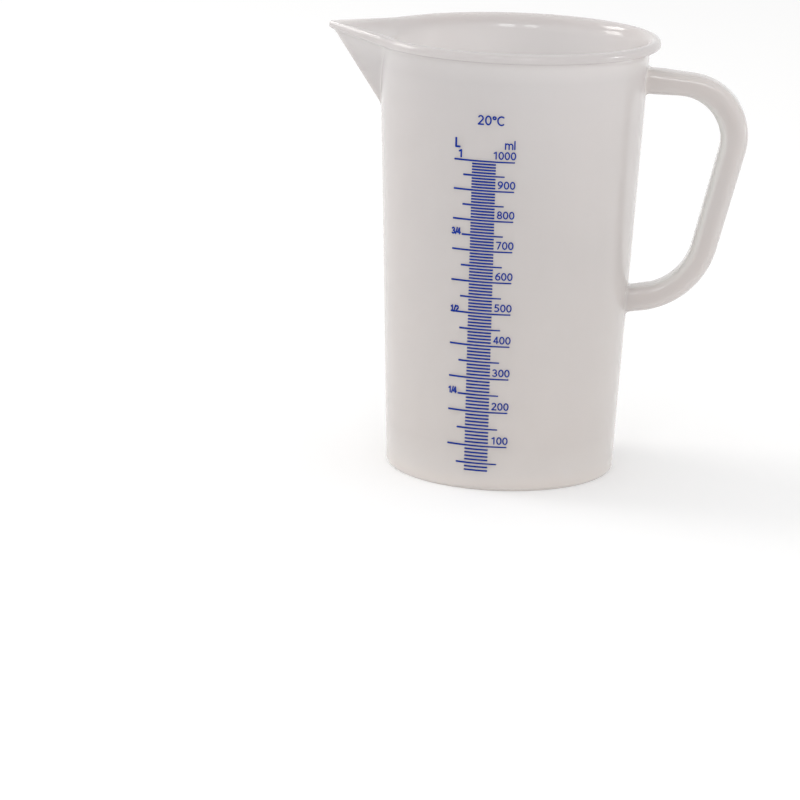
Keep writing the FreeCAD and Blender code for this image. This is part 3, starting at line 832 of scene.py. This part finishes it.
def let_through(nodes, links, shader):
    """Lets part of the scattered light pass each surface, so that the inside isn't dark."""
    path = nodes.new("ShaderNodeLightPath")
    wall, clear = shader.outputs["BSDF"], nodes.new("ShaderNodeBsdfTransparent").outputs["BSDF"]
    passing = mixed(nodes, links, LIGHT_PASSED, wall, clear)
    bounced = mixed(nodes, links, path.outputs["Is Diffuse Ray"], wall, passing)
    surface = mixed(nodes, links, path.outputs["Is Shadow Ray"], bounced, passing)
    links.new(surface, nodes["Material Output"].inputs["Surface"])


def make_ink():
    """Dark blue screen-printing ink, a little uneven."""
    material, nodes, links, shader = new_material("blue_screen_ink")
    blue = ramp_node(nodes, links, noise(nodes, links, WEAR), INK_SHADES)
    links.new(blue, shader.inputs["Base Color"])
    shader.inputs["Roughness"].default_value = INK_ROUGHNESS
    shader.inputs["Specular IOR Level"].default_value = INK_SHINE
    return material


# ---- surroundings, in metres ----------------------------------------------------------------
SKY_UNDER, SKY_OVERHEAD = 0.95, 0.76    # strength of the soft light from below and from above
FLOOR_HALF = 3.0
FLOOR_SHADE = 0.92
FLOOR_ROUGHNESS = 0.9
FLOOR_LIFT = 0.13                       # light added where the floor is looked at
LAMP_AIM = (0.0, 0.0, 0.17)
WARM, COOL = (1.0, 0.98, 0.95), (0.97, 0.98, 1.0)
CAMERA_PLACE = (0.0516, -1.4783, 0.4037)
CAMERA_TARGET = (-0.0426, 0.0, 0.0245)
CAMERA_ROLL = math.radians(1.83)
SENSOR_WIDTH, FOCAL_LENGTH = 36.0, 163.4    # millimetres


def camera_rays(nodes, links):
    """1 for rays that show the background: straight, mirrored or through the plastic."""
    path = nodes.new("ShaderNodeLightPath")
    total = path.outputs["Is Camera Ray"]
    for name in ("Is Glossy Ray", "Is Transmission Ray"):
        join = nodes.new("ShaderNodeMath")
        join.operation = "MAXIMUM"
        links.new(total, join.inputs[0])
        links.new(path.outputs[name], join.inputs[1])
        total = join.outputs["Value"]
    return total


def make_world():
    """White where it is seen, an even soft light elsewhere."""
    world = bpy.data.worlds.new("studio")
    bpy.context.scene.world = world
    world.use_nodes = True
    nodes, links = world.node_tree.nodes, world.node_tree.links
    soft, white = nodes["Background"], nodes.new("ShaderNodeBackground")
    soft.inputs["Color"].default_value = grey(1.0)
    place = nodes.new("ShaderNodeTexCoord")
    split = nodes.new("ShaderNodeSeparateXYZ")
    sky = nodes.new("ShaderNodeMapRange")
    sky.inputs["To Min"].default_value = SKY_UNDER
    sky.inputs["To Max"].default_value = SKY_OVERHEAD
    links.new(place.outputs["Generated"], split.inputs["Vector"])
    links.new(split.outputs["Z"], sky.inputs["Value"])
    links.new(sky.outputs["Result"], soft.inputs["Strength"])
    white.inputs["Color"].default_value = grey(1.0)
    white.inputs["Strength"].default_value = 1.0
    shades = soft.outputs["Background"], white.outputs["Background"]
    sky_or_white = mixed(nodes, links, camera_rays(nodes, links), *shades)
    links.new(sky_or_white, nodes["World Output"].inputs["Surface"])


def make_floor():
    """Pale floor that shows white but keeps the jug's shadow."""
    mesh = bpy.data.meshes.new("floor")
    signs = ((-1, -1), (1, -1), (1, 1), (-1, 1))
    mesh.from_pydata([(x * FLOOR_HALF, y * FLOOR_HALF, 0) for x, y in signs], [], [(0, 1, 2, 3)])
    floor = bpy.data.objects.new("floor", mesh)
    bpy.context.scene.collection.objects.link(floor)
    material, nodes, links, shader = new_material("pale_floor")
    shader.inputs["Base Color"].default_value = grey(FLOOR_SHADE)
    shader.inputs["Roughness"].default_value = FLOOR_ROUGHNESS
    shader.inputs["Specular IOR Level"].default_value = 0.0
    lift = nodes.new("ShaderNodeEmission")
    scale = nodes.new("ShaderNodeMath")
    scale.operation = "MULTIPLY"
    scale.inputs[1].default_value = FLOOR_LIFT
    links.new(camera_rays(nodes, links), scale.inputs[0])
    links.new(scale.outputs["Value"], lift.inputs["Strength"])
    add = nodes.new("ShaderNodeAddShader")
    links.new(shader.outputs["BSDF"], add.inputs[0])
    links.new(lift.outputs["Emission"], add.inputs[1])
    links.new(add.outputs["Shader"], nodes["Material Output"].inputs["Surface"])
    mesh.materials.append(material)


def make_lamp(name, place, width, height, power, color):
    """A soft rectangular lamp that faces the jug's rim."""
    data = bpy.data.lights.new(name, "AREA")
    data.shape = "RECTANGLE"
    data.size, data.size_y = width, height
    data.energy = power
    data.color = color
    lamp = bpy.data.objects.new(name, data)
    bpy.context.scene.collection.objects.link(lamp)
    lamp.location = place
    aim = Vector(LAMP_AIM) - Vector(place)
    lamp.rotation_euler = aim.to_track_quat("-Z", "Y").to_euler()


def make_lights():
    """Two windows at the left, two panels in front and a low light at the right."""
    make_lamp("window_left_high", (-1.40, 0.52, 1.20), 0.80, 0.30, 6.0, WARM)
    make_lamp("window_left_low", (-1.52, 0.26, 0.64), 0.60, 0.26, 2.6, WARM)
    make_lamp("panel_front_right", (0.30, -1.50, 0.66), 0.40, 0.32, 2.3, COOL)
    make_lamp("panel_front_left", (-0.31, -1.47, 0.66), 0.32, 0.30, 1.4, COOL)
    make_lamp("window_right", (1.50, -0.10, 0.14), 0.32, 0.20, 2.0, COOL)


def make_camera():
    """Camera a little above and to the right of the scale, with a slight roll."""
    data = bpy.data.cameras.new("camera")
    data.sensor_width, data.lens = SENSOR_WIDTH, FOCAL_LENGTH
    data.clip_start, data.clip_end = 0.1, 20.0
    camera = bpy.data.objects.new("camera", data)
    bpy.context.scene.collection.objects.link(camera)
    place, target = Vector(CAMERA_PLACE), Vector(CAMERA_TARGET)
    turn = (target - place).to_track_quat("-Z", "Y").to_matrix().to_4x4()
    roll = Matrix.Rotation(CAMERA_ROLL, 4, "Z")
    camera.matrix_world = Matrix.Translation(place) @ turn @ roll
    bpy.context.scene.camera = camera


def main():
    """Builds the jug, its print and the studio."""
    # the inside colours of both materials paint light on inward faces; the outside ones paint light
    # and shade by height
    wall = make_polypropylene("vessel_plastic", WALL_OUTSIDE_TONE_AND_PAINTED_LIGHT, WALL_INSIDE_PAINTED_LIGHT)
    grip = make_polypropylene("handle_plastic", HANDLE_OUTSIDE, HANDLE_INSIDE_PAINTED_LIGHT)
    ink = make_ink()
    jug = joined(make_vessel(wall), make_handle(grip))
    as_piece(jug, "natural_pp", "base", "body_wall", "rim_lip", "pouring_spout", "handle")
    for kind in LINES:
        make_ticks(kind, ink)
    make_numerals(ink)
    make_litre_marks(ink)
    make_units(ink)
    make_world()
    make_floor()
    make_lights()
    make_camera()
    bpy.context.scene.view_settings.view_transform = "Standard"


main()
